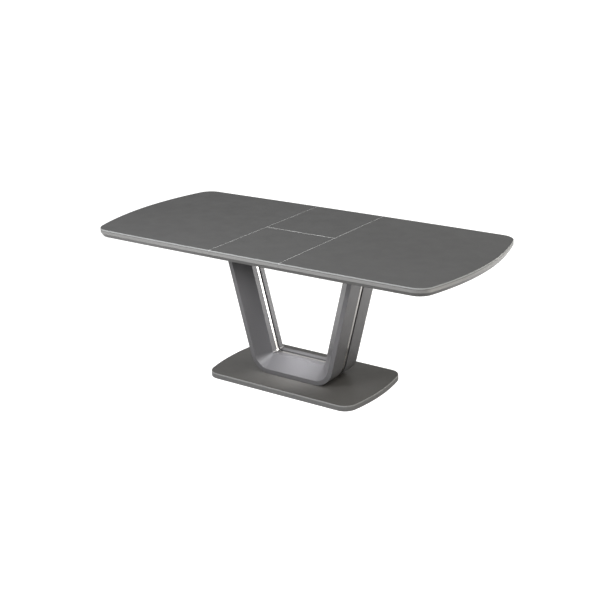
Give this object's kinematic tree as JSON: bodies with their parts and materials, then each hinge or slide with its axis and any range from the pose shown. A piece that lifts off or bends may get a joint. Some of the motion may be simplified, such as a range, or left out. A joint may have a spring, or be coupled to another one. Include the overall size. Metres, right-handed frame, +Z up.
{
  "type": "extendable dining table",
  "caption": "Extendable dining table: glass-faced top with bowed sides and folding centre leaf on a flared U-shaped pedestal and glass-faced base plate.",
  "frame": {"origin": "centre of the footprint on the floor, under the feet", "axes": "+X along the table's length, +Y towards the back long side, +Z up"},
  "size_m": [2, 0.9, 0.76],
  "materials": {
    "lacquered_board": "gloss metallic grey lacquer on MDF",
    "top_glass": "satin back-painted glass",
    "base_glass": "gloss back-painted glass",
    "polished_steel": "polished",
    "dark_core": "matt black lacquer on MDF",
    "foot_plastic": "matt",
    "bumper_rubber": "matt",
    "runner_aluminium": "anodised",
    "slider_aluminium": "anodised",
    "fastener_steel": "zinc plated",
    "painted_steel": "satin black powder coat"
  },
  "bodies": {
    "root": {"base_board": "lacquered_board", "base_glass": "base_glass", "base_feet": "foot_plastic", "base_bolts": "fastener_steel", "base_washers": "fastener_steel", "front_pedestal_frame": "lacquered_board", "rear_pedestal_frame": "lacquered_board", "pedestal_core": "dark_core", "inner_steel_strip": "polished_steel", "outer_steel_strip": "polished_steel", "frame_connectors": "fastener_steel", "left_leg_top_plate": "painted_steel", "right_leg_top_plate": "painted_steel", "leg_plate_screws": "fastener_steel", "front_beam": "painted_steel", "rear_beam": "painted_steel", "left_cross_beam": "painted_steel", "right_cross_beam": "painted_steel", "front_runner": "runner_aluminium", "rear_runner": "runner_aluminium", "runner_screws": "fastener_steel", "runner_stop_pins": "fastener_steel", "left_leaf_support": "painted_steel", "right_leaf_support": "painted_steel", "leaf_bumpers": "bumper_rubber"},
    "left_top": {"left_top_board": "lacquered_board", "left_top_glass": "top_glass", "left_front_slider": "slider_aluminium", "left_rear_slider": "slider_aluminium", "left_top_screws": "fastener_steel", "left_top_stiffener": "painted_steel"},
    "right_top": {"right_top_board": "lacquered_board", "right_top_glass": "top_glass", "right_front_slider": "slider_aluminium", "right_rear_slider": "slider_aluminium", "right_top_screws": "fastener_steel", "right_top_stiffener": "painted_steel"},
    "leaf_front": {"leaf_front_board": "lacquered_board", "leaf_front_glass": "top_glass", "leaf_front_hinges": "fastener_steel"},
    "leaf_back": {"leaf_back_board": "lacquered_board", "leaf_back_glass": "top_glass", "leaf_back_hinges": "fastener_steel"}
  },
  "joints": [
    {"name": "left_top_slide", "type": "slide", "parent": "root", "child": "left_top", "axis": [-1, 0, 0], "range_m": [0, 0.02]},
    {"name": "right_top_slide", "type": "slide", "parent": "root", "child": "right_top", "axis": [1, 0, 0], "range_m": [0, 0.02]},
    {"name": "leaf_front_fold", "type": "hinge", "parent": "root", "child": "leaf_front", "pos_m": [0, 0, 0.761], "axis": [-1, 0, 0], "range_deg": [0, 90]},
    {"name": "leaf_back_fold", "type": "hinge", "parent": "root", "child": "leaf_back", "pos_m": [0, 0, 0.761], "axis": [1, 0, 0], "range_deg": [0, 90]}
  ]
}
